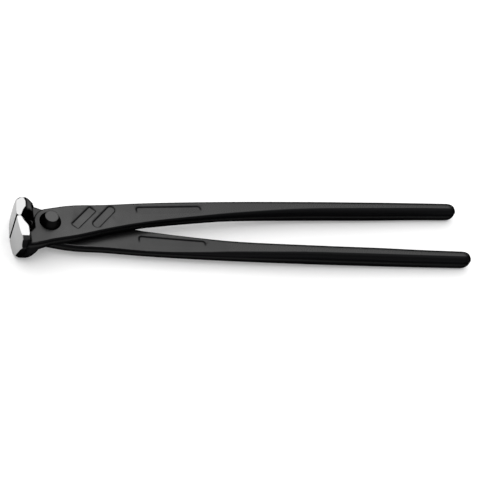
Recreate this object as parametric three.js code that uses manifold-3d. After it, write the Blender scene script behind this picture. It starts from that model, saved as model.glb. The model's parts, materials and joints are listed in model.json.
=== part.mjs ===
// Rebar tying pliers, also called concreter's nippers, lying on a bench with the jaws closed.
// Two forged levers cross at a lap joint and turn on one rivet. Each lever is a handle, a round
// cheek and the opposite jaw in one piece, and both are the same forging, one turned over.
// Tool axes: X from the rivet to the handle ends, Y across the handles, Z along the rivet.
// Millimetres, +Z up.
import * as THREE from 'three';
import { mergeVertices } from 'three/addons/utils/BufferGeometryUtils.js';
import Module from 'manifold-3d';

// Whole tool
const handleReach = 276.8; // rivet axis to the ends of the handles
const jawReach = 21; // rivet axis to the ground front of the jaws
const jawWidth = 25; // length of the cutting edges
const gripSpan = 47.1; // over both handles at their ends

// Handle and arm
const gripWidth = 9.1; // across one handle where the hand holds it
const gripThickness = 12.3; // one handle there, along the rivet's direction
const gripCorner = 3.2; // corner radius of a handle's section
const endWidth = 8.5; // across one handle at its end
const endThickness = 11.4; // one handle at its end, along the rivet's direction
const endRounding = 6; // length of the rounded handle end
const armWidth = 23; // across one lever at the rivet axis
const armFlare = THREE.MathUtils.degToRad(11.4); // slope of the arm's outer edge off the cheek

// Lap joint
const cheekRadius = 9.7; // round cheek of a lever about the rivet
const cheekThickness = 7; // one lever at the joint, from the lap plane out
const cheekEdge = 1.2; // rounding of the forged edges at the joint
const lapEdge = 0.3; // broken edge of the machined lap face
const lapGap = 0.3; // between the two lap faces
const shoulderGap = 0.6; // between a cheek and the shoulder of the other lever

// Jaw
const plateThickness = 6.4; // wide ground plate at the front of a jaw
const crownRise = 17.6; // jaw outline over the cutting line, at its highest
const bodyRise = 16.2; // jaw body over the cutting line, right behind the plate
const borderRounding = 1.6; // rounding of the plate's back border
const faceSweep = 2.4; // how far the ground front falls back at the crown
const edgeSetback = 1.1; // cutting edge behind the ground front
const edgeLand = 0.75; // height of the small front bevel at the edge
const edgeContact = 1.2; // width over which the two cutting edges meet
const jawGap = 0.3; // between the two cutting edges
const heelStep = 1; // corner between cheek and throat, out from the round cheek
const noseReach = 8.1; // rivet axis to the end of the shoulder behind a jaw
const noseRounding = 2; // rounding of the shoulder's outer edges

// Rivet
const shankRadius = 4.4;
const boreGap = 0.3; // radial, shank to bore
const headRadius = 6.55; // root of the cone head
const headTopRadius = 3.95; // flat top of the cone head
const headHeight = 4.9; // cone head above the lever
const headEdge = 0.4; // broken edge round the flat top
const tailRadius = 6; // upset head on the other side
const tailHeight = 1.3;
const tailTopShare = 0.7; // flat of the upset head, as a share of its radius
const headSeatGap = 0.3; // between a head and the lever under it

// Marking fields
const fieldDepth = 0.6; // how deep they are pressed into the arm

// One overrun serves all cuts and joins
const overrun = 1;

// Smoothness
const cornerSteps = 5; // facets round a section's corner
const roundSteps = 40; // facets round a whole turn
const stationSteps = 4; // rings between two rows of a table
const curveSteps = 10; // points along a curved edge

// Each row: place along the handle, drift of the centre line from the joint to the handle end,
// slimming from the arm to the grip, drop of the underside from the lap plane to the grip, thinning
// of the upper side from the cheek to the grip, softening of the corners from the cheek to the grip,
// and taper from the grip to the handle end.
const armShares = [
  [0.000, 0.000, 0.000, 0.00, 0.00, 0.00, 0.00],
  [0.037, 0.096, 0.000, 0.00, 0.00, 0.00, 0.00],
  [0.129, 0.290, 0.338, 0.00, 0.10, 0.02, 0.00],
  [0.221, 0.476, 0.568, 0.00, 0.40, 0.10, 0.00],
  [0.331, 0.634, 0.741, 0.24, 0.75, 0.30, 0.00],
  [0.478, 0.792, 0.914, 0.69, 1.00, 0.65, 0.00],
  [0.625, 0.888, 1.000, 1.00, 1.00, 0.90, 0.00],
  [0.773, 0.935, 1.000, 1.00, 1.00, 1.00, 0.10],
  [0.920, 0.983, 1.000, 1.00, 1.00, 1.00, 0.75],
  [1.000, 1.000, 1.000, 1.00, 1.00, 1.00, 1.00],
];

// Marking fields pressed into the arm and left bare. Each row: place along the handle, place across
// the arm off its centre line, turn as a share of a half turn, half length, half width at both ends,
// corner radius, and depth along the two long sides. Below zero, a field runs out before its side.
const outerFieldShares = [
  [0.0772, 0.045, 0.256, 0.409, 0.117, 0.117, 0.048, 1.00, 0.60],
  [0.1233, 0.003, 0.261, 0.435, 0.117, 0.117, 0.113, 1.00, 0.60],
  [0.2781, -0.013, 0.020, 0.909, 0.143, 0.126, 0.083, 1.00, -0.15],
];
const lapFieldShares = [
  [0.2792, 0.000, 0.029, 0.896, 0.170, 0.122, 0.083, -0.15, 1.00],
];

// Outline of the ground plate along the cutting edge, from the lever's own end to the far end. Each
// row: place, height of the front border, height of the back border, depth of the bevel between them
const crownShares = [
  [0.00, 0.807, 0.818, 0.12],
  [0.06, 0.870, 0.886, 0.09],
  [0.13, 0.920, 0.943, 0.08],
  [0.33, 0.983, 1.000, 0.08],
  [0.50, 0.960, 0.994, 0.10],
  [0.61, 0.903, 0.966, 0.19],
  [0.88, 0.761, 0.858, 0.38],
  [1.00, 0.610, 0.739, 0.45],
];

// Inner side of a jaw plate from the cutting edge down, as shares of plateThickness and crownRise
const bevelShares = [[0.47, 0.055], [0.65, 0.22], [0.95, 0.385]];

// Throat corner behind the plate: share of the way from cheek to plate, and share of crownRise
const throatShares = [0.56, 0.41];
const cheekAngle = THREE.MathUtils.degToRad(188); // where the cheek's round ends at the throat
const heelAngle = THREE.MathUtils.degToRad(204); // corner between cheek and throat
const shoulderAngle = THREE.MathUtils.degToRad(209); // inner end of the shoulder past the lap plane

// Control points of the jaw's outer edge behind the plate, as shares of plateBack and bodyRise
const neckShares = [[0.79, 1.005], [0.38, 0.92]];

// Flanks of the jaw body from the plate to the nose. Each row: place on the way, then the flank on
// the lever's own side and the far flank: 1 is the jaw's end, 0 the cheek, -1 the lap plane.
const flankShares = [
  [0.00, 1.00, 0.80],
  [0.05, 0.62, 0.62],
  [0.12, 0.34, 0.50],
  [0.22, 0.10, 0.38],
  [0.34, -0.02, 0.36],
  [0.52, -0.02, 0.34],
  [0.66, -0.02, 0.28],
  [0.74, -0.02, -0.20],
  [0.85, -0.02, -0.50],
  [0.94, -0.02, -0.75],
  [1.00, -0.02, -0.94],
];

// Three points of the plane that slants the far flank off towards the nose: shares of plateBack and
// bodyRise, and a flank height as above
const slantShares = [[0.80, 0.885, 0], [0.80, 0.792, 0.364], [0.69, 0.749, 0]];

// Rounded handle end: ring scale at the very tip, as a share of the section
const tipShare = 0.38;

const straight = handleReach - endRounding; // the arm and handle up to the rounded end
const plateBack = jawReach - plateThickness;
const gripCentre = (gripSpan - endWidth) / 2;
const rootOuter = cheekRadius / Math.cos(armFlare);
const rootCentre = rootOuter - armWidth / 2;

const wasm = await Module();
wasm.setup();

function mix(from, to, share) {
  return from + (to - from) * share;
}

// Reads a column of a table smoothly and without overshoot between its rows
function readTable(rows, column, place) {
  const last = rows.length - 1;
  let k = 0;
  while (k < last - 1 && rows[k + 1][0] < place) k += 1;
  const rise = (i) => (rows[i + 1][column] - rows[i][column]) / (rows[i + 1][0] - rows[i][0]);
  const slope = (i) => {
    if (i === 0) return rise(0);
    if (i === last) return rise(last - 1);
    const before = rise(i - 1);
    const after = rise(i);
    return before * after > 0 ? (2 * before * after) / (before + after) : 0;
  };
  const span = rows[k + 1][0] - rows[k][0];
  const t = (place - rows[k][0]) / span;
  const a = rows[k][column];
  const b = rows[k + 1][column];
  const bend = t * (1 - t) * (slope(k) * span * (1 - t) - slope(k + 1) * span * t);
  return a + (b - a) * t * t * (3 - 2 * t) + bend;
}

// Places of the rings: every row of the table, and evenly spaced ones between
function stationPlaces(rows) {
  const places = [];
  for (let k = 0; k < rows.length - 1; k += 1) {
    for (let s = 0; s < stationSteps; s += 1) places.push(mix(rows[k][0], rows[k + 1][0], s / stationSteps));
  }
  places.push(rows[rows.length - 1][0]);
  return places;
}

// A closed solid from rings of points, each ring going the same way round
function loftRings(rings) {
  const count = rings[0].length;
  const positions = rings.flat(2);
  const indices = [];
  for (let r = 0; r < rings.length - 1; r += 1) {
    for (let k = 0; k < count; k += 1) {
      const a = r * count + k;
      const b = r * count + ((k + 1) % count);
      indices.push(a, b, b + count, a, b + count, a + count);
    }
  }
  for (const [r, turn] of [[0, true], [rings.length - 1, false]]) {
    const centre = positions.length / 3;
    const ring = rings[r];
    for (const axis of [0, 1, 2]) positions.push(ring.reduce((sum, point) => sum + point[axis], 0) / count);
    for (let k = 0; k < count; k += 1) {
      const a = r * count + k;
      const b = r * count + ((k + 1) % count);
      indices.push(centre, ...(turn ? [b, a] : [a, b]));
    }
  }
  const geometry = new THREE.BufferGeometry();
  geometry.setAttribute('position', new THREE.Float32BufferAttribute(positions, 3));
  geometry.setIndex(indices);
  return geometry;
}

// Ring of a four-cornered section across X, with one corner radius above and one below
function sectionRing(x, low, high, bottom, top, lowRadius, topRadius, scale = 1) {
  const limit = Math.min(high - low, top - bottom) / 2 - lapEdge / 2;
  const corners = [
    [high, top, Math.min(topRadius, limit), 0],
    [low, top, Math.min(topRadius, limit), 1],
    [low, bottom, Math.min(lowRadius, limit), 2],
    [high, bottom, Math.min(lowRadius, limit), 3],
  ];
  const middle = [(low + high) / 2, (bottom + top) / 2];
  const ring = [];
  for (const [y, z, radius, quarter] of corners) {
    const centreY = y + (y === high ? -radius : radius);
    const centreZ = z + (z === top ? -radius : radius);
    for (let k = 0; k <= cornerSteps; k += 1) {
      const angle = (quarter + k / cornerSteps) * (Math.PI / 2);
      const pointY = centreY + radius * Math.cos(angle);
      const pointZ = centreZ + radius * Math.sin(angle);
      ring.push([x, mix(middle[0], pointY, scale), mix(middle[1], pointZ, scale)]);
    }
  }
  return ring;
}

// Turns a closed geometry into a solid for joining and cutting
function solidOf(geometry) {
  const bare = geometry.clone();
  for (const name of ['normal', 'uv']) bare.deleteAttribute(name);
  const merged = mergeVertices(bare);
  const vertProperties = new Float32Array(merged.attributes.position.array);
  const triVerts = new Uint32Array(merged.index.array);
  return new wasm.Manifold(new wasm.Mesh({ numProp: 3, vertProperties, triVerts }));
}

function geometryOf(solid) {
  const mesh = solid.getMesh();
  const geometry = new THREE.BufferGeometry();
  geometry.setAttribute('position', new THREE.BufferAttribute(mesh.vertProperties, 3));
  geometry.setIndex(new THREE.BufferAttribute(mesh.triVerts, 1));
  geometry.computeVertexNormals();
  return geometry;
}

// Outline in the XY plane, raised along Z from bottom to top
function raised(shape, bottom, top) {
  const geometry = new THREE.ExtrudeGeometry(shape, { depth: top - bottom, bevelEnabled: false });
  return solidOf(geometry.translate(0, 0, bottom));
}

function cylinder(radius, bottom, top) {
  const geometry = new THREE.CylinderGeometry(radius, radius, top - bottom, roundSteps);
  geometry.rotateX(Math.PI / 2).translate(0, 0, (bottom + top) / 2);
  return solidOf(geometry);
}

// Section of the arm at a share of the handle's reach
function armSection(share) {
  const centre = mix(rootCentre, gripCentre, readTable(armShares, 1, share));
  const taper = readTable(armShares, 6, share);
  const half = mix(armWidth, mix(gripWidth, endWidth, taper), readTable(armShares, 2, share)) / 2;
  const gripHalf = mix(gripThickness, endThickness, taper) / 2;
  const bottom = -mix(lapGap / 2, gripHalf, readTable(armShares, 3, share));
  const top = mix(cheekThickness, gripHalf, readTable(armShares, 4, share));
  return {
    low: centre - half,
    high: centre + half,
    bottom: readTable(armShares, 3, share) === 0 ? lapGap / 2 : bottom,
    top,
    lowRadius: mix(lapEdge, gripCorner, Math.min(1, readTable(armShares, 3, share) * 2)),
    topRadius: mix(cheekEdge, gripCorner, readTable(armShares, 5, share)),
  };
}

// Arm and handle, lofted from the rivet axis to the rounded end
function armSolid() {
  const rings = stationPlaces(armShares).map((share) => {
    const s = armSection(share);
    return sectionRing(share * straight, s.low, s.high, s.bottom, s.top, s.lowRadius, s.topRadius);
  });
  const s = armSection(1);
  for (let k = 1; k <= cornerSteps; k += 1) {
    const angle = (k / cornerSteps) * (Math.PI / 2);
    const scale = mix(tipShare, 1, Math.cos(angle));
    const x = straight + endRounding * Math.sin(angle);
    rings.push(sectionRing(x, s.low, s.high, s.bottom, s.top, s.lowRadius, s.topRadius, scale));
  }
  return solidOf(loftRings(rings));
}

// Height of the arm's outer side, or of its lap side, at x
function armSide(x, outer) {
  const places = stationPlaces(armShares);
  const next = places.findIndex((place) => place * straight > x);
  const [before, after] = [places[next - 1], places[next]];
  const [a, b] = [armSection(before), armSection(after)].map((s) => (outer ? s.top : s.bottom));
  return mix(a, b, (x / straight - before) / (after - before));
}

// Tool that presses one marking field into the arm, from over its surface down to the floor
function fieldSolid(row, outer) {
  const [place, across, turn, halfLength, nearHalf, farHalf, cornerRadius, upper, lower] = row;
  const section = armSection(place);
  const middle = [place * straight, (section.low + section.high) / 2 + across * armWidth];
  const [cosine, sine] = [Math.cos(turn * Math.PI), Math.sin(turn * Math.PI)];
  const half = halfLength * armWidth;
  const corner = cornerRadius * armWidth;
  const end = [];
  for (let k = 0; k <= cornerSteps; k += 1) {
    const angle = (k / cornerSteps) * (Math.PI / 2);
    end.push([half - corner * (1 - Math.cos(angle)), corner * (1 - Math.sin(angle))]);
  }
  const stops = end.map(([along, inset]) => [-along, inset]);
  for (let k = 1; k < curveSteps; k += 1) stops.push([mix(corner - half, half - corner, k / curveSteps), 0]);
  stops.push(...end.reverse());
  const rings = stops.map(([along, inset]) => {
    const reach = mix(nearHalf, farHalf, (along / half + 1) / 2) * armWidth;
    const [left, right] = [reach - inset, inset - reach].map((off) => {
      const x = middle[0] + along * cosine - off * sine;
      const y = middle[1] + along * sine + off * cosine;
      const surface = armSide(x, outer);
      const depth = mix(lower, upper, (off / reach + 1) / 2) * fieldDepth;
      const [open, floor] = outer ? [surface + overrun, surface - depth] : [surface - overrun, surface + depth];
      return [[x, y, Math.max(open, floor)], [x, y, Math.min(open, floor)]];
    });
    return [left[0], right[0], right[1], left[1]];
  });
  return solidOf(loftRings(rings));
}

// Outer edge of the jaw body in the XY plane: straight inside the plate, then curved to the arm
const jawRoot = -plateBack - cheekEdge - overrun;
const neckStart = new THREE.Vector2(-plateBack, -bodyRise);
const neckEnd = new THREE.Vector2(0, armSection(0).low);
const [neckA, neckB] = neckShares.map(([back, rise]) => new THREE.Vector2(-back * plateBack, -rise * bodyRise));
const neckCurve = new THREE.CubicBezierCurve(neckStart, neckA, neckB, neckEnd);
const neckLine = [new THREE.Vector2(jawRoot, -bodyRise), ...neckCurve.getPoints(curveSteps)];

// Corners of the throat between the plate and the cheek
function onCircle(radius, angle) {
  return new THREE.Vector2(radius * Math.cos(angle), radius * Math.sin(angle));
}
const throatCorner = new THREE.Vector2(
  -mix(cheekRadius, plateBack, throatShares[0]),
  -throatShares[1] * crownRise,
);
const heelCorner = onCircle(cheekRadius + heelStep, heelAngle);
const shoulderCorner = onCircle(cheekRadius, shoulderAngle);

// Plan of one lever at the joint, from its arm round the cheek and throat to the jaw
function cheekShape() {
  const first = armSection(0);
  const second = armSection(armShares[1][0] / stationSteps);
  const seam = (armShares[1][0] / stationSteps) * straight;
  const shape = new THREE.Shape();
  shape.moveTo(seam, second.low);
  shape.lineTo(seam, second.high);
  shape.lineTo(0, first.high);
  shape.absarc(0, 0, cheekRadius, Math.PI / 2 + armFlare, cheekAngle, false);
  shape.lineTo(heelCorner.x, heelCorner.y);
  shape.lineTo(throatCorner.x, throatCorner.y);
  shape.lineTo(jawRoot, throatCorner.y);
  for (const point of neckLine) shape.lineTo(point.x, point.y);
  return shape;
}

// Cheek with rounded outer edges and a flat lap face
function cheekSolid() {
  const geometry = new THREE.ExtrudeGeometry(cheekShape(), {
    depth: cheekThickness - cheekEdge,
    bevelSize: cheekEdge,
    bevelOffset: -cheekEdge,
    bevelThickness: cheekEdge,
    bevelSegments: cornerSteps,
    curveSegments: roundSteps,
  });
  const lapCut = raised(boundsShape(), -cheekEdge - overrun, lapGap / 2);
  return solidOf(geometry).subtract(lapCut);
}

// A square that covers the joint and the jaws in plan
function boundsShape() {
  const reach = jawReach + crownRise;
  const shape = new THREE.Shape();
  shape.moveTo(-reach, -reach);
  shape.lineTo(reach, -reach);
  shape.lineTo(reach, reach);
  shape.lineTo(-reach, reach);
  return shape;
}

// Height of a jaw flank: 1 is the jaw's end, 0 the cheek, -1 the lap plane
function flankHeight(share) {
  if (share >= 0) return mix(cheekThickness, jawWidth / 2, share);
  return mix(cheekThickness, lapGap / 2, -share);
}

// Y of a curve in the XY plane where it crosses x
function edgeAt(points, x) {
  for (let k = 0; k < points.length - 1; k += 1) {
    const [a, b] = [points[k], points[k + 1]];
    if ((a.x - x) * (b.x - x) <= 0 && a.x !== b.x) return mix(a.y, b.y, (x - a.x) / (b.x - a.x));
  }
  return points[points.length - 1].y;
}

// Body of the jaw behind its plate: fillets to the plate, and the shoulder past the lap plane
function bodySolid() {
  const throatStart = new THREE.Vector2(jawRoot, throatCorner.y);
  const throat = [throatStart, throatCorner, shoulderCorner, new THREE.Vector2(0, 0)];
  const rings = [];
  const inPlate = (plateBack + jawRoot) / (plateBack - noseReach);
  for (const place of [inPlate, ...stationPlaces(flankShares)]) {
    const x = -mix(plateBack, noseReach, place);
    const near = flankHeight(readTable(flankShares, 1, Math.max(0, place)));
    const far = flankHeight(readTable(flankShares, 2, Math.max(0, place)));
    rings.push(sectionRing(x, edgeAt(neckLine, x), edgeAt(throat, x), -far, near, noseRounding, cheekEdge));
  }
  const clearance = cylinder(cheekRadius + shoulderGap, -jawWidth, lapGap / 2);
  const corners = slantShares.map(([back, rise, height]) => (
    new THREE.Vector3(-back * plateBack, -rise * bodyRise, -flankHeight(height))
  ));
  const slant = new THREE.Plane().setFromCoplanarPoints(...corners);
  if (slant.constant < 0) slant.negate(); // keeps the side of the rivet axis
  return solidOf(loftRings(rings)).subtract(clearance).trimByPlane(slant.normal.toArray(), -slant.constant);
}

// A solid lofted along the cutting edge, its section in the XY plane given for each place
function alongEdge(sectionAt) {
  const rings = stationPlaces(crownShares).reverse().map((place) => {
    const z = mix(jawWidth / 2, -jawWidth / 2, place);
    return sectionAt(place).map(([x, y]) => [x, y, z]);
  });
  return solidOf(loftRings(rings));
}

// Ground plate with the cutting edge, the swept front, the bevelled border and the hollow back
function plateSection(place) {
  const front = -jawReach;
  const frontRise = readTable(crownShares, 1, place) * crownRise;
  const backRise = readTable(crownShares, 2, place) * crownRise;
  const bevel = readTable(crownShares, 3, place) * plateThickness;
  const edgeBack = front + edgeSetback;
  const section = [[edgeBack + edgeContact, -jawGap / 2], [edgeBack, -jawGap / 2]];
  for (let k = 0; k <= curveSteps; k += 1) {
    const rise = mix(jawGap / 2 + edgeLand, frontRise, k / curveSteps);
    section.push([front + faceSweep * (rise / crownRise) ** 2, -rise]);
  }
  section.push([section[section.length - 1][0] + bevel, -backRise]);
  for (let k = 0; k <= cornerSteps; k += 1) {
    const angle = (k / cornerSteps) * (Math.PI / 2);
    const [inward, down] = [1 - Math.sin(angle), 1 - Math.cos(angle)];
    section.push([-plateBack - borderRounding * inward, borderRounding * down - backRise]);
  }
  for (const [back, rise] of [...bevelShares].reverse()) {
    section.push([front + back * plateThickness, -rise * crownRise]);
  }
  return section;
}

// Room under the plate's back border, which the jaw body may not leave
function crownSection(place) {
  const rise = readTable(crownShares, 2, place) * crownRise;
  return [[-jawReach, 0], [-jawReach, -rise], [0, -rise], [0, 0]];
}

// One whole lever, drawn as the one whose arm lies above the lap plane
function leverGeometry() {
  const bore = cylinder(shankRadius + boreGap, -cheekThickness, cheekThickness + overrun);
  const body = bodySolid().intersect(alongEdge(crownSection));
  let forging = armSolid().add(cheekSolid()).add(body).add(alongEdge(plateSection)).subtract(bore);
  for (const row of outerFieldShares) forging = forging.subtract(fieldSolid(row, true));
  for (const row of lapFieldShares) forging = forging.subtract(fieldSolid(row, false));
  return geometryOf(forging);
}

// Rivet turned about its own axis: cone head, shank and low upset head
function rivetGeometry() {
  const face = cheekThickness + headSeatGap;
  const top = face + headHeight;
  const profile = [
    [0, -face - tailHeight],
    [tailRadius * tailTopShare, -face - tailHeight],
    [tailRadius, -face - tailHeight / 2],
    [tailRadius, -face],
    [shankRadius, -face],
    [shankRadius, face],
    [headRadius, face],
    [headTopRadius + headEdge / 2, top - headEdge],
    [headTopRadius - headEdge / 2, top],
    [0, top],
  ].map(([radius, height]) => new THREE.Vector2(radius, height));
  return new THREE.LatheGeometry(profile, roundSteps).rotateX(Math.PI / 2);
}

const blackSteel = { color: 0x1d1e20, roughness: 0.45, metalness: 0.6 };
const rivetSteel = { color: 0x26272a, roughness: 0.5, metalness: 0.6 };

function piece(name, geometry, look) {
  const mesh = new THREE.Mesh(geometry, new THREE.MeshStandardMaterial(look));
  mesh.name = name;
  return mesh;
}

const tool = new THREE.Group();
const frontLever = piece('front_lever', leverGeometry(), blackSteel);
const rearLever = piece('rear_lever', leverGeometry(), blackSteel);
rearLever.rotation.x = Math.PI; // the same forging, turned over about the long axis
const pivotRivet = piece('pivot_rivet', rivetGeometry(), rivetSteel);
tool.add(frontLever, rearLever, pivotRivet);

// The tool rests on the lower ends of its jaws and on both handle ends
const restDrop = (jawWidth - endThickness) / 2;
tool.rotation.y = Math.atan2(restDrop, plateBack + handleReach - endRounding);

const group = new THREE.Group();
group.add(tool);
const box = new THREE.Box3().setFromObject(group, true);
const middle = box.getCenter(new THREE.Vector3());
tool.position.set(-middle.x, -middle.y, -box.min.z);

export default group;
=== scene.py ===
import json
import math

import bpy
import numpy as np
from mathutils import Matrix, Vector


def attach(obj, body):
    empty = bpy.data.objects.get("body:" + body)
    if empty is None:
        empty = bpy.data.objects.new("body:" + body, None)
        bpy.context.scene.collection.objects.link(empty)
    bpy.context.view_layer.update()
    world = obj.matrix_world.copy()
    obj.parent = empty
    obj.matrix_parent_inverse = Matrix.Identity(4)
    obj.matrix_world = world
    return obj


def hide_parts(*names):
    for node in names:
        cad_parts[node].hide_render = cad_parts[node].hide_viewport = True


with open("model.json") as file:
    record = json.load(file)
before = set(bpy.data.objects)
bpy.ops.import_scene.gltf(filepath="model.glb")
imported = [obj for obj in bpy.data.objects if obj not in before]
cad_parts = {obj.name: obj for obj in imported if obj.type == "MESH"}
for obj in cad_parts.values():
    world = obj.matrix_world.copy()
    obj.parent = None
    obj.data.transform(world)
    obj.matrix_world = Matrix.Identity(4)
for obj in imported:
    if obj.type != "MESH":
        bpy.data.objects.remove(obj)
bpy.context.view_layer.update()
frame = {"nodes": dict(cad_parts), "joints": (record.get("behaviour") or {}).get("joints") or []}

# The two levers. Each is a drop forging in tool steel with its handle, round cheek and jaw in one
# piece. The rear one is the front one turned over, so one mesh serves both. The skin is blackened,
# and the jaw's front and ends are ground bright. Shallow pockets for markings are left bare.
mm = 0.001
pivot = frame["joints"][0]
tool_tip = math.atan2(pivot["axis"][0], pivot["axis"][2])
tool_axes = Matrix.Translation(Vector(pivot["pos_m"])) @ Matrix.Rotation(tool_tip, 4, "Y")
turned_over = tool_axes @ Matrix.Rotation(math.pi, 4, "X")

# The lever's own sizes in mm. X runs from the rivet to the handle's end, Z along the rivet, and
# the jaw stands at -X with its cutting edge at Y = 0 and its crown at -Y.
jaw_front = 21.0  # from the rivet to the cutting edge
jaw_crown = 17.6  # height of the jaw's front
jaw_sweep = 2.4  # how far the front falls back at the crown
jaw_half_width = 12.5
plate_back = 14.6  # from the rivet to the back of the jaw's plate
edge_gap = 0.15  # each CAD edge stands this far back from Y = 0, where the two edges meet
edge_touch = 0.02  # and the drawn one this far

# The forged skin is softened, and the ground plate in front of it stays crisp.
grain_size = 0.28  # how finely the forging is drawn
forged_passes = 5
forged_pull = 0.6  # share of the way to the middle of its neighbours that a corner goes each time
crisp_reach = 1.0  # the crisp stretch goes this far past the plate's back
crisp_fade = 1.5  # and ends over this length
kept_share = 0.3  # of the drawn faces, once those on smooth stretches are joined
sharp_corner = math.radians(28)  # a corner from here on is drawn sharp

# How many mm fuller than in the CAD the neck behind the plate is: the amount at each depth below
# the lap, and the shares of it that are reached along the neck and towards the crown.
neck_depth = (-4, 0, 1.2, 4, 7)
neck_fullness = (0, 0.9, 1.4, 1.4, 1)
neck_length = (-14.4, -12.4, -8.0, -1.5)
neck_length_shares = (0, 1, 1, 0)
neck_rise = (5, 10)
neck_rise_shares = (0, 1)
neck_turn = 0.3  # a face has to turn this much towards the crown to be moved in full

# Each pocket: middle, long axis, half length, half width at both ends, corner radius, and how
# much deeper than in the CAD it is pressed along its two long sides, or shallower where negative.
# A painted shade line darkens the corner under a wall, stronger along the long side whose wall
# stands in shade.
outer_pockets = [
    {"middle": (20.9, 3.4), "axis": (0.69, 0.72), "half": (9.4, 2.7, 2.7), "corner": 1.1,
     "depth": (0.25, 0.4), "line": (0.7, 0.25)},
    {"middle": (33.4, 4.3), "axis": (0.68, 0.73), "half": (10.0, 2.7, 2.7), "corner": 2.6,
     "depth": (0.25, 0.4), "line": (0.7, 0.25)},
    {"middle": (75.3, 10.0), "axis": (0.998, 0.063), "half": (20.9, 3.3, 2.9), "corner": 1.9,
     "depth": (-0.3, 0.0), "line": (1.0, 0.0)},
]
inner_pockets = [
    {"middle": (75.6, 10.3), "axis": (0.996, 0.092), "half": (20.6, 3.9, 2.8), "corner": 1.9,
     "depth": (0.0, -0.3), "line": (0.0, 1.0)},
]
pockets = [(1, pocket) for pocket in outer_pockets] + [(-1, pocket) for pocket in inner_pockets]
pocket_wall = 0.5  # width of the sloping wall
pocket_margin = 0.8  # drawn finely this far round a pocket
side_limit = 3.0  # the outer side lies above this height at every pocket, the lap side below
floor_lift = 0.6  # a face lies in a pocket's floor if it is at least this square to the rivet
floor_fade = 0.2


def put_in_scene(thing):
    bpy.context.scene.collection.objects.link(thing)


def corner_places(mesh):
    """All corners of a mesh as an array, in mm."""
    places = np.empty(len(mesh.vertices) * 3, np.float32)
    mesh.vertices.foreach_get("co", places)
    return places.reshape(-1, 3).astype(float) / mm


def corner_facing(mesh):
    """The direction that each corner of a mesh faces."""
    facing = np.empty(len(mesh.vertices) * 3, np.float32)
    mesh.vertices.foreach_get("normal", facing)
    return facing.reshape(-1, 3)


def move_corners(mesh, places):
    mesh.vertices.foreach_set("co", (places * mm).astype(np.float32).ravel())
    mesh.update()


def worked(mesh, kind, kept=None, **settings):
    """The mesh after one modifier. Corners marked in kept aren't changed by it."""
    holder = bpy.data.objects.new("holder", mesh)
    put_in_scene(holder)
    modifier = holder.modifiers.new(kind, kind)
    for name, value in settings.items():
        setattr(modifier, name, value)
    if kept is not None:
        free = holder.vertex_groups.new(name="free")
        free.add([int(k) for k in np.flatnonzero(~kept)], 1.0, "REPLACE")
        modifier.vertex_group = "free"
    bpy.context.view_layer.update()
    graph = bpy.context.evaluated_depsgraph_get()
    result = bpy.data.meshes.new_from_object(holder.evaluated_get(graph))
    bpy.data.objects.remove(holder)
    result.polygons.foreach_set("use_smooth", [True] * len(result.polygons))
    return result


def pocket_form(x, y, pocket):
    """Where each place lies in a pocket: how far inside its outline, and how far across it,
    from 0 on one long side to 1 on the other."""
    along, across = Vector(pocket["axis"]).normalized()
    dx, dy = x - pocket["middle"][0], y - pocket["middle"][1]
    u, v = dx * along + dy * across, dy * along - dx * across
    half_length, near_width, far_width = pocket["half"]
    width = near_width + (far_width - near_width) * np.clip(u / half_length / 2 + 0.5, 0, 1)
    corner = pocket["corner"]
    out_u = np.abs(u) - half_length + corner
    out_v = np.abs(v) - width + corner
    outside = np.hypot(np.maximum(out_u, 0), np.maximum(out_v, 0))
    inside = np.minimum(np.maximum(out_u, out_v), 0)
    return corner - outside - inside, np.clip(v / width / 2 + 0.5, 0, 1)


def soften_skin(skin, places):
    """The forged skin drawn smooth, without the ground plate and the pockets."""
    ends = np.empty(len(skin.edges) * 2, np.int32)
    skin.edges.foreach_get("vertices", ends)
    a, b = ends[0::2], ends[1::2]
    neighbours = np.bincount(ends, minlength=len(places))[:, None]
    forged = np.clip((places[:, 0:1] + plate_back - crisp_reach) / crisp_fade, 0, 1)
    for side, pocket in pockets:
        within = pocket_form(places[:, 0], places[:, 1], pocket)[0]
        forged[(within > -pocket_wall) & (side * (places[:, 2] - side_limit) > 0)] = 0
    for k in range(forged_passes):
        total = np.zeros_like(places)
        for axis in range(3):
            total[:, axis] = np.bincount(a, places[b, axis], len(places))
            total[:, axis] += np.bincount(b, places[a, axis], len(places))
        places += (total / neighbours - places) * forged * forged_pull


def close_edge(places):
    """The cutting edge brought close to the other lever's, as it is with the jaws closed."""
    rise = -places[:, 1]
    reach = 3 * edge_gap
    shut = np.clip((reach - rise) / (2 * edge_gap), 0, 1)
    at_edge = (places[:, 0] < -plate_back) & (rise < reach)
    places[:, 1] += np.where(at_edge, shut * (edge_gap - edge_touch), 0)


def fill_neck(places, facing):
    """The neck behind the plate made fuller on its faces towards the crown. No corner moves
    along the rivet."""
    fuller = np.interp(places[:, 0], neck_length, neck_length_shares)
    fuller *= np.interp(-places[:, 1], neck_rise, neck_rise_shares)
    fuller *= np.interp(-places[:, 2], neck_depth, neck_fullness)
    fuller *= np.clip(-facing[:, 1] / neck_turn, 0, 1)
    places[:, :2] += facing[:, :2] * fuller[:, None]


def press_pockets(places, facing):
    """The pockets pressed to their depth with crisp walls. Returns the corners in and round
    them, which stay finely drawn."""
    kept = np.zeros(len(places), bool)
    for side, pocket in pockets:
        on_side = np.clip((side * facing[:, 2] - floor_lift) / floor_fade, 0, 1)
        within, across = pocket_form(places[:, 0], places[:, 1], pocket)
        upper, lower = pocket["depth"]
        wall = np.clip(within / pocket_wall, 0, 1)
        depth = (lower + (upper - lower) * across) * wall * wall * (3 - 2 * wall)
        places[:, 2] -= side * depth * on_side
        kept |= (within > -pocket_margin) & (side * (places[:, 2] - side_limit) > 0)
    return kept


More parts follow.
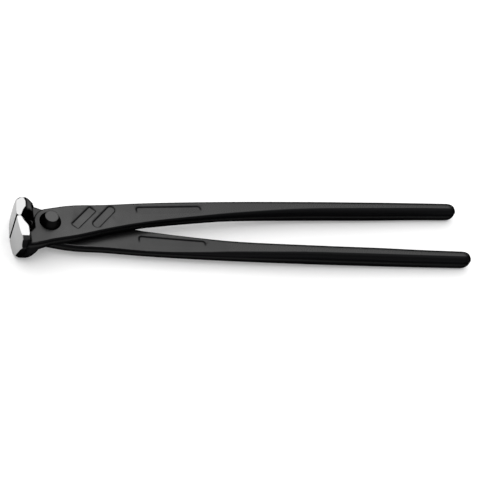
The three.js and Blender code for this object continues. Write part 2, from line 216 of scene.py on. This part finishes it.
def forged_lever():
    """The lever in its own axes: CAD form, softened forged skin and crisp pressed pockets."""
    blank = frame["nodes"]["front_lever"].data.copy()
    blank.transform(tool_axes.inverted())
    skin = worked(blank, "REMESH", mode="VOXEL", voxel_size=grain_size * mm)
    places = corner_places(skin)
    soften_skin(skin, places)
    close_edge(places)
    move_corners(skin, places)
    facing = corner_facing(skin)
    fill_neck(places, facing)
    kept = press_pockets(places, facing)
    kept |= places[:, 0] < -plate_back
    move_corners(skin, places)
    lever = worked(skin, "DECIMATE", kept=kept, ratio=kept_share)
    lever.set_sharp_from_angle(angle=sharp_corner)
    return lever


# The dies struck the faces square to the rivet smooth, and these faces are painted lighter, as lit
# from above, while the flanks are painted darker, as in shade. They are told from the flanks by
# how square a corner lies, from 0 to 1. From the cheek to the grip they get narrower, and towards
# the handle's end the painted light leans more and more to the faces turned towards the lamp.
smooth_lit_limit = 0.78  # a face that is squarer than this begins to be struck smooth and painted lit
smooth_lit_fade = 0.16  # and is wholly so this much further on
grip_start, grip_length = 60, 90  # the stretch over which the cheek's limits turn to the grip's
grip_limit = 0.12  # added to the limit there
grip_fade = 0.10  # taken off the fade there
grip_lean = 0.2
end_start, end_length = 150, 100
end_lean = 0.7
jaw_limit = 0.45  # the limit on the jaw and its neck
jaw_back = 9.0  # which end this far from the rivet
pocket_square = 0.5  # at a pocket, all that is this square was struck smooth and is painted lit

# A painted shade line darkens the corners of the pockets under their walls, and fades over the
# middle third of a pocket from one long side's strength to the other's, stronger on the side whose
# wall stands in shade. The lap faces and the neck are a little darker.
shade_line_half_width = 0.5
shade_line_strength = 1.8
shade_line_turn = 3
lap_tone = 0.9
lap_end = 110  # on the handle
neck_tone = 0.78
neck_end = 8  # the neck's own tone ends this far in front of the rivet
neck_tone_fade = 14  # and fades out over this length


def mark_faces(lever):
    """The share is 1 on the faces square to the rivet, which are smooth and painted lighter as
    lit, less along the painted shade lines in the pockets' corners, and 0 on the flanks, which are
    painted darker as in shade."""
    places = corner_places(lever)
    facing = corner_facing(lever)
    lift = facing[:, 2]
    grip = np.clip((places[:, 0] - grip_start) / grip_length, 0, 1)
    lean = grip_lean * grip + end_lean * np.clip((places[:, 0] - end_start) / end_length, 0, 1)
    square = np.abs(lift) + lean * facing[:, 1] * np.sign(lift)
    limit = np.where(places[:, 0] < -jaw_back, jaw_limit, smooth_lit_limit + grip_limit * grip)
    smooth_and_lit = np.clip((square - limit) / (smooth_lit_fade - grip_fade * grip), 0, 1)
    for side, pocket in pockets:
        within, across = pocket_form(places[:, 0], places[:, 1], pocket)
        upper, lower = pocket["line"]
        strength = lower + (upper - lower) * np.clip(across * shade_line_turn - 1, 0, 1)
        line = shade_line_strength * np.exp(-((within / shade_line_half_width) ** 2))
        on_side = side * (places[:, 2] - side_limit) > 0
        smooth_and_lit[on_side & (within > -pocket_margin) & (np.abs(lift) > pocket_square)] = 1
        smooth_and_lit *= np.where(on_side, 1 - np.clip(line, 0, 1) * strength, 1)
    smooth_and_lit *= np.where((places[:, 2] < side_limit) & (places[:, 0] < lap_end), lap_tone, 1)
    past_neck = np.clip((places[:, 0] + neck_end) / neck_tone_fade, 0, 1)
    smooth_and_lit *= neck_tone + (1 - neck_tone) * past_neck
    lever.attributes.new("smooth_and_lit_face", "FLOAT", "POINT").data.foreach_set("value", smooth_and_lit)


def laid_in(mesh, place):
    """The mesh moved to its place. own_mm keeps where each corner is on the piece itself."""
    moved = mesh.copy()
    own = moved.attributes.new("own_mm", "FLOAT_VECTOR", "POINT")
    own.data.foreach_set("vector", corner_places(mesh).astype(np.float32).ravel())
    moved.transform(place)
    return moved


def node(tree, kind, inputs=None, **settings):
    """One material node; an input is a value or another node's output."""
    made = tree.nodes.new("ShaderNode" + kind)
    for name, value in settings.items():
        setattr(made, name, value)
    for name, value in (inputs or {}).items():
        if isinstance(value, bpy.types.NodeSocket):
            tree.links.new(value, made.inputs[name])
        else:
            made.inputs[name].default_value = value
    return made


def maths(tree, operation, first, second=0.0):
    return node(tree, "Math", {0: first, 1: second}, operation=operation).outputs[0]


def weighed(tree, places, weights):
    """The sum of places, each times its weight."""
    total = 0.0
    for place, weight in zip(places, weights):
        total = maths(tree, "ADD", maths(tree, "MULTIPLY", place, weight), total)
    return total


def fade(tree, value, low, high, at_low=0.0, at_high=1.0):
    """at_low below low, at_high above high, sloping between."""
    limits = {"From Min": low, "From Max": high, "To Min": at_low, "To Max": at_high}
    return node(tree, "MapRange", {"Value": value, **limits}).outputs["Result"]


def blend(tree, share, first, second):
    """A number between two numbers."""
    made = node(tree, "Mix", {0: share, 2: first, 3: second}, data_type="FLOAT")
    return made.outputs[0]


def blend_colour(tree, share, first, second):
    made = node(tree, "Mix", {0: share, 6: first, 7: second}, data_type="RGBA")
    return made.outputs[2]


def noise(tree, place, scale, detail):
    """Noise with about scale lumps in a mm."""
    made = node(tree, "TexNoise", {"Vector": place, "Scale": scale, "Detail": detail})
    return made.outputs[0]


def new_finish(name):
    """A material, its node tree and its shader."""
    material = bpy.data.materials.new(name)
    material.use_nodes = True
    tree = material.node_tree
    return material, tree, tree.nodes["Principled BSDF"]


def own_place(tree):
    """The place on the piece in mm."""
    return node(tree, "Attribute", attribute_name="own_mm").outputs["Vector"]


def add_bump(tree, shader, height, strength, depth):
    """Fine relief, depth mm deep."""
    bump = node(tree, "Bump", {"Height": height, "Strength": strength, "Distance": depth * mm})
    tree.links.new(bump.outputs[0], shader.inputs["Normal"])


# Where the grinding ends, in mm. Two straight limits bound the front towards the crown, each with
# its rise at the middle of the jaw and its slope along it. The land of the cutting edge is painted
# black, a painted shade for the dark crease where the two edges meet, and the corner at the back
# of the crown on the ends stays black.
front_skin = (0.5, 0.6)  # the front's bright skin is this deep
edge_crease_shade = (1.15, 1.3)
upper_limit = (18.66, -0.245)
lower_limit = (16.6, 0.31)
limit_fade = (-0.1, 0.05)
end_skin = (0.14, 0.08)  # and the ends' this deep
end_corner_weights = (0.94, 0.35, -0.042)  # of x, rise and z
end_corner = (-9.8, -9.7)


def ground_shares(tree, place):
    """The jaw's ground front and its ground ends: 1 there, 0 elsewhere."""
    x, y, z = node(tree, "SeparateXYZ", {0: place}).outputs
    rise = maths(tree, "MULTIPLY", y, -1.0)
    crown_share = maths(tree, "DIVIDE", rise, jaw_crown)
    fall = maths(tree, "MULTIPLY", maths(tree, "POWER", crown_share, 2.0), jaw_sweep)
    depth = maths(tree, "SUBTRACT", maths(tree, "ADD", x, jaw_front), fall)
    front = fade(tree, depth, *front_skin, 1.0, 0.0)
    front = maths(tree, "MULTIPLY", front, fade(tree, rise, *edge_crease_shade))
    upper, lower = [
        maths(tree, "ADD", maths(tree, "MULTIPLY", z, slope), middle)
        for middle, slope in (upper_limit, lower_limit)]
    over = maths(tree, "SUBTRACT", rise, maths(tree, "MINIMUM", upper, lower))
    front = maths(tree, "MULTIPLY", front, fade(tree, over, *limit_fade, 1.0, 0.0))
    limits = [jaw_half_width - skin for skin in end_skin]
    end = fade(tree, maths(tree, "ABSOLUTE", z), *limits)
    corner = weighed(tree, (x, rise, z), end_corner_weights)
    end = maths(tree, "MULTIPLY", end, fade(tree, corner, *end_corner, 1.0, 0.0))
    return front, end


shaded_flank_black = (0.008, 0.008, 0.0085, 1)  # as forged, then blackened, and painted darker as in shade
reflection_streak_black = (0.022, 0.022, 0.022, 1)  # a painted reflection of the board: a lighter streak along the flank
lit_face_black = (0.045, 0.045, 0.045, 1)  # struck flat and smooth, then blackened, and painted lighter as lit
lit_face_worn = (0.055, 0.055, 0.055, 1)
lit_grip_black = (0.037, 0.037, 0.037, 1)  # the same painted-lit face along the handle, painted a little darker there
ground_steel = (0.37, 0.37, 0.37, 1)
ground_end = (0.68, 0.68, 0.68, 1)
other_end = (0.59, 0.59, 0.59, 1)
ends_parted = (-1.0, 1.0)  # heights between which one end's colour turns to the other's
oxide_tint = (0.1, 0.1, 0.1, 1)  # the oxide reflects little at a low angle, bright steel all
steel_tint = (1.0, 1.0, 1.0, 1)
reflection_streak_height = 3.6  # of the painted reflection streak above the lap at the joint
reflection_streak_stretch = (45.0, 160.0)  # where it runs down to the handle's middle
reflection_streak_fade = (0.4, 1.3)
grip_stretch = (20.0, 120.0)  # where the face's black turns to the grip's
flank_rough = 0.48
face_rough = (0.22, 0.34)
front_rough = (0.34, 0.50)
end_rough = 0.62

# Each pattern: how many lumps in a mm, and how much detail. The relief of one is a share of the
# relief of the forged grain.
blotches = (0.09, 4.0)
forged_grain = (1.5, 3.0)
scratches = (1.0, 2.0)
scratch_stretch = (3.0, 3.0, 0.16)  # the grinding lines run along the cutting edge
worn_blotches = (0.35, 0.7)  # the blotches' values from which the black is worn, and wholly so
blotch_relief = 1.5
scratch_relief = 0.5
forging_relief = (0.14, 0.12)  # strength, and depth in mm


def oxide_colour(tree, place, flat, blotch):
    """Black oxide, painted lighter on the faces square to the rivet as lit and darker on the
    flanks as in shade, with a lighter streak along the flank that is a painted reflection.
    """
    parts = node(tree, "SeparateXYZ", {0: place}).outputs
    face = blend_colour(tree, fade(tree, blotch, *worn_blotches), lit_face_black, lit_face_worn)
    face = blend_colour(tree, fade(tree, parts["X"], *grip_stretch), face, lit_grip_black)
    streak_height = fade(tree, parts["X"], *reflection_streak_stretch, reflection_streak_height, 0.0)
    off_streak = maths(tree, "ABSOLUTE", maths(tree, "SUBTRACT", parts["Z"], streak_height))
    flank = blend_colour(tree, fade(tree, off_streak, *reflection_streak_fade), reflection_streak_black, shaded_flank_black)
    return blend_colour(tree, flat, flank, face)


def steel_colour(tree, place, end):
    """Bright steel on the front and, paler, on both ends."""
    height = node(tree, "SeparateXYZ", {0: place}).outputs["Z"]
    end_steel = blend_colour(tree, fade(tree, height, *ends_parted), other_end, ground_end)
    return blend_colour(tree, end, ground_steel, end_steel)


def black_forging():
    """Black oxide over the forged skin, bright steel where the jaw is ground."""
    material, tree, shader = new_finish("black_forged_steel")
    place = own_place(tree)
    front, end = ground_shares(tree, place)
    ground = maths(tree, "MAXIMUM", front, end)
    flat = node(tree, "Attribute", attribute_name="smooth_and_lit_face").outputs["Fac"]
    blotch = noise(tree, place, *blotches)
    grain = noise(tree, place, *forged_grain)
    drawn_out = node(tree, "Mapping", {"Vector": place, "Scale": scratch_stretch}).outputs[0]
    scratch = noise(tree, drawn_out, *scratches)

    oxide = oxide_colour(tree, place, flat, blotch)
    steel = steel_colour(tree, place, end)
    tree.links.new(blend_colour(tree, ground, oxide, steel), shader.inputs["Base Color"])
    tint = blend_colour(tree, ground, oxide_tint, steel_tint)
    tree.links.new(tint, shader.inputs["Specular Tint"])
    shader.inputs["Metallic"].default_value = 1.0

    oxide_rough = blend(tree, flat, flank_rough, fade(tree, grain, 0.0, 1.0, *face_rough))
    ground_rough = fade(tree, scratch, 0.0, 1.0, *front_rough)
    rough = blend(tree, end, blend(tree, front, oxide_rough, ground_rough), end_rough)
    tree.links.new(rough, shader.inputs["Roughness"])

    skin_height = maths(tree, "ADD", grain, maths(tree, "MULTIPLY", blotch, blotch_relief))
    scratch_height = maths(tree, "MULTIPLY", scratch, scratch_relief)
    height = blend(tree, ground, skin_height, scratch_height)
    add_bump(tree, shader, height, *forging_relief)
    return material


def put_in(name, mesh, material, body, cad_node):
    """A finished piece that rides on its body and stands for its CAD node."""
    piece = bpy.data.objects.new(name, mesh)
    put_in_scene(piece)
    mesh.materials.clear()
    mesh.materials.append(material)
    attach(piece, body)
    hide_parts(cad_node)


lever = forged_lever()
mark_faces(lever)
black_finish = black_forging()
put_in("front_lever_forging", laid_in(lever, tool_axes), black_finish, "front_half",
       "front_lever")
put_in("rear_lever_forging", laid_in(lever, turned_over), black_finish, "rear_half",
       "rear_lever")

# The rivet that the levers turn on. It is turned from steel with a high cone head on the side
# that shows, and its tail is upset into a low round head that pulls the two cheeks together.
# It is blackened with the levers.
cheek_height = 7.0  # from the lap to the underside of either head
shank_radius = 4.5
tail_outline = [(0, 1.55), (3.2, 1.5), (4.6, 1.2), (5.5, 0.7), (5.95, 0.1), (5.95, 0)]
cone_outline = [
    (6.45, 0), (6.53, 0.08), (6.5, 0.3), (4.2, 4.75), (4.05, 4.98),
    (3.8, 5.1), (3.55, 5.12), (3.5, 5.08), (1.6, 5.06), (0, 5.06),
]
rivet_outline = (
    [(radius, -cheek_height - height) for radius, height in tail_outline]
    + [(shank_radius, -cheek_height), (shank_radius, cheek_height)]
    + [(radius, cheek_height + height) for radius, height in cone_outline])
turn_steps = 128
turned_corner = math.radians(32)  # a corner from here on is drawn sharp


def turned_rivet():
    """The outline turned once round the rivet's line. Each end of it is a single corner, and
    each place between them a ring of corners."""
    corners, rings, faces = [], [], []
    for radius, height in rivet_outline:
        turns = [step * math.tau / turn_steps for step in range(turn_steps if radius else 1)]
        rings.append([len(corners) + step % len(turns) for step in range(turn_steps + 1)])
        corners += [(radius * math.cos(turn), radius * math.sin(turn), height) for turn in turns]
    for low, high in zip(rings, rings[1:]):
        for step in range(turn_steps):
            face = (low[step], low[step + 1], high[step + 1], high[step])
            faces.append(list(dict.fromkeys(face)))
    mesh = bpy.data.meshes.new("rivet")
    mesh.from_pydata([Vector(corner) * mm for corner in corners], [], faces)
    mesh.polygons.foreach_set("use_smooth", [True] * len(faces))
    mesh.set_sharp_from_angle(angle=turned_corner)
    return mesh


# The flat of the head is painted lighter, as lit, and the cone near black, as in shade.
lit_head_top_black = (0.065, 0.065, 0.065, 1)
shaded_cone_black = (0.006, 0.006, 0.006, 1)
head_top = (11.9, 12.04)  # heights between which the cone's black turns to the head's
turned_rough = (0.30, 0.46)
turning_rings = (4.0, 2.0)
turned_grain = (1.2, 3.0)
grain_relief = 0.5
turning_relief = (0.2, 0.06)


def black_turning():
    """Black oxide over a turned surface, painted lighter on the flat of the head as lit and near
    black on the cone as in shade.
    """
    material, tree, shader = new_finish("black_turned_steel")
    place = own_place(tree)
    x, y, z = node(tree, "SeparateXYZ", {0: place}).outputs
    across = node(tree, "CombineXYZ", {0: x, 1: y}).outputs[0]
    radius = node(tree, "VectorMath", {0: across}, operation="LENGTH").outputs["Value"]
    ring = node(tree, "CombineXYZ", {0: radius, 1: z}).outputs[0]
    rings = noise(tree, ring, *turning_rings)
    grain = noise(tree, place, *turned_grain)
    colour = blend_colour(tree, fade(tree, z, *head_top), shaded_cone_black, lit_head_top_black)
    tree.links.new(colour, shader.inputs["Base Color"])
    tree.links.new(fade(tree, rings, 0.0, 1.0, *turned_rough), shader.inputs["Roughness"])
    shader.inputs["Metallic"].default_value = 1.0
    shader.inputs["Specular Tint"].default_value = oxide_tint
    height = maths(tree, "ADD", rings, maths(tree, "MULTIPLY", grain, grain_relief))
    add_bump(tree, shader, height, *turning_relief)
    return material


put_in("pivot_rivet_turned", laid_in(turned_rivet(), tool_axes), black_turning(), "rear_half",
       "pivot_rivet")

# The bench and the light: a plain white board under one broad soft lamp above and behind the
# tool, in a room that is white near the ground and dim above. The camera sees the board as
# white. The closed pliers lie on the ends of their jaws and handles.
bench_half = 6.0
white = (1.0, 1.0, 1.0, 1)
board_pale = (0.6, 0.6, 0.6, 1)  # how pale the board is as it lights the tool
shadow_lift = 0.21  # how much of the shadow on the white board is taken away


def white_board():
    """A matt board that the camera sees as white, with the tool's shadow."""
    material, tree, shader = new_finish("white_board")
    seen_by = node(tree, "LightPath").outputs
    seen = maths(tree, "MAXIMUM", seen_by["Is Camera Ray"], seen_by["Is Glossy Ray"])
    seen = maths(tree, "MAXIMUM", seen, seen_by["Is Transmission Ray"])
    tree.links.new(blend_colour(tree, seen, board_pale, white), shader.inputs["Base Color"])
    shader.inputs["Roughness"].default_value = 1.0
    shader.inputs["Specular IOR Level"].default_value = 0.0
    glow = node(tree, "Emission").outputs[0]
    lift = maths(tree, "MULTIPLY", seen, shadow_lift)
    lightened = node(tree, "MixShader", {0: lift, 1: shader.outputs[0], 2: glow})
    tree.links.new(lightened.outputs[0], tree.nodes["Material Output"].inputs["Surface"])
    return material


board = bpy.data.meshes.new("bench")
board_corners = [(-1, -1), (1, -1), (1, 1), (-1, 1)]
board.from_pydata(
    [(x * bench_half, y * bench_half, 0) for x, y in board_corners], [], [(0, 1, 2, 3)])
board.materials.append(white_board())
bench = bpy.data.objects.new("bench", board)
put_in_scene(bench)

room = bpy.data.worlds.new("room")
bpy.context.scene.world = room
room.use_nodes = True
room_light = room.node_tree.nodes["Background"]
direction = node(room.node_tree, "TexCoord").outputs["Generated"]
height_seen = node(room.node_tree, "SeparateXYZ", {0: direction}).outputs["Z"]
white_walls = (0.2, 0.45)  # the height at which they begin to dim, and end
dim_glow = 0.42
room_glow = fade(room.node_tree, height_seen, *white_walls, 1.0, dim_glow)
room.node_tree.links.new(room_glow, room_light.inputs["Strength"])
room_light.inputs["Color"].default_value = white

lamp = bpy.data.lights.new("lamp_above", "SUN")
lamp.angle = math.radians(88)
lamp.energy = 2.6
lamp_stand = bpy.data.objects.new("lamp_above", lamp)
lamp_stand.rotation_euler = Vector((0.0, 0.26, 0.95)).to_track_quat("Z", "Y").to_euler()
put_in_scene(lamp_stand)

# The camera stands in front of the tool, towards the jaws and above it, with a long lens.
camera_place = (-0.3095499, -0.5112808, 0.718993)
camera_right = Vector((0.94476989, -0.18793532, 0.26849613))
camera_up = Vector((-0.00236601, 0.81531656, 0.57901063))
camera_back = camera_right.cross(camera_up)
lens = bpy.data.cameras.new("camera")
lens.sensor_width = 36
lens.lens = 111.508
lens.clip_end = 20
camera = bpy.data.objects.new("camera", lens)
turn = Matrix((camera_right, camera_up, camera_back)).transposed().to_4x4()
camera.matrix_world = Matrix.Translation(camera_place) @ turn
put_in_scene(camera)
bpy.context.scene.camera = camera
bpy.context.scene.view_settings.view_transform = "Standard"
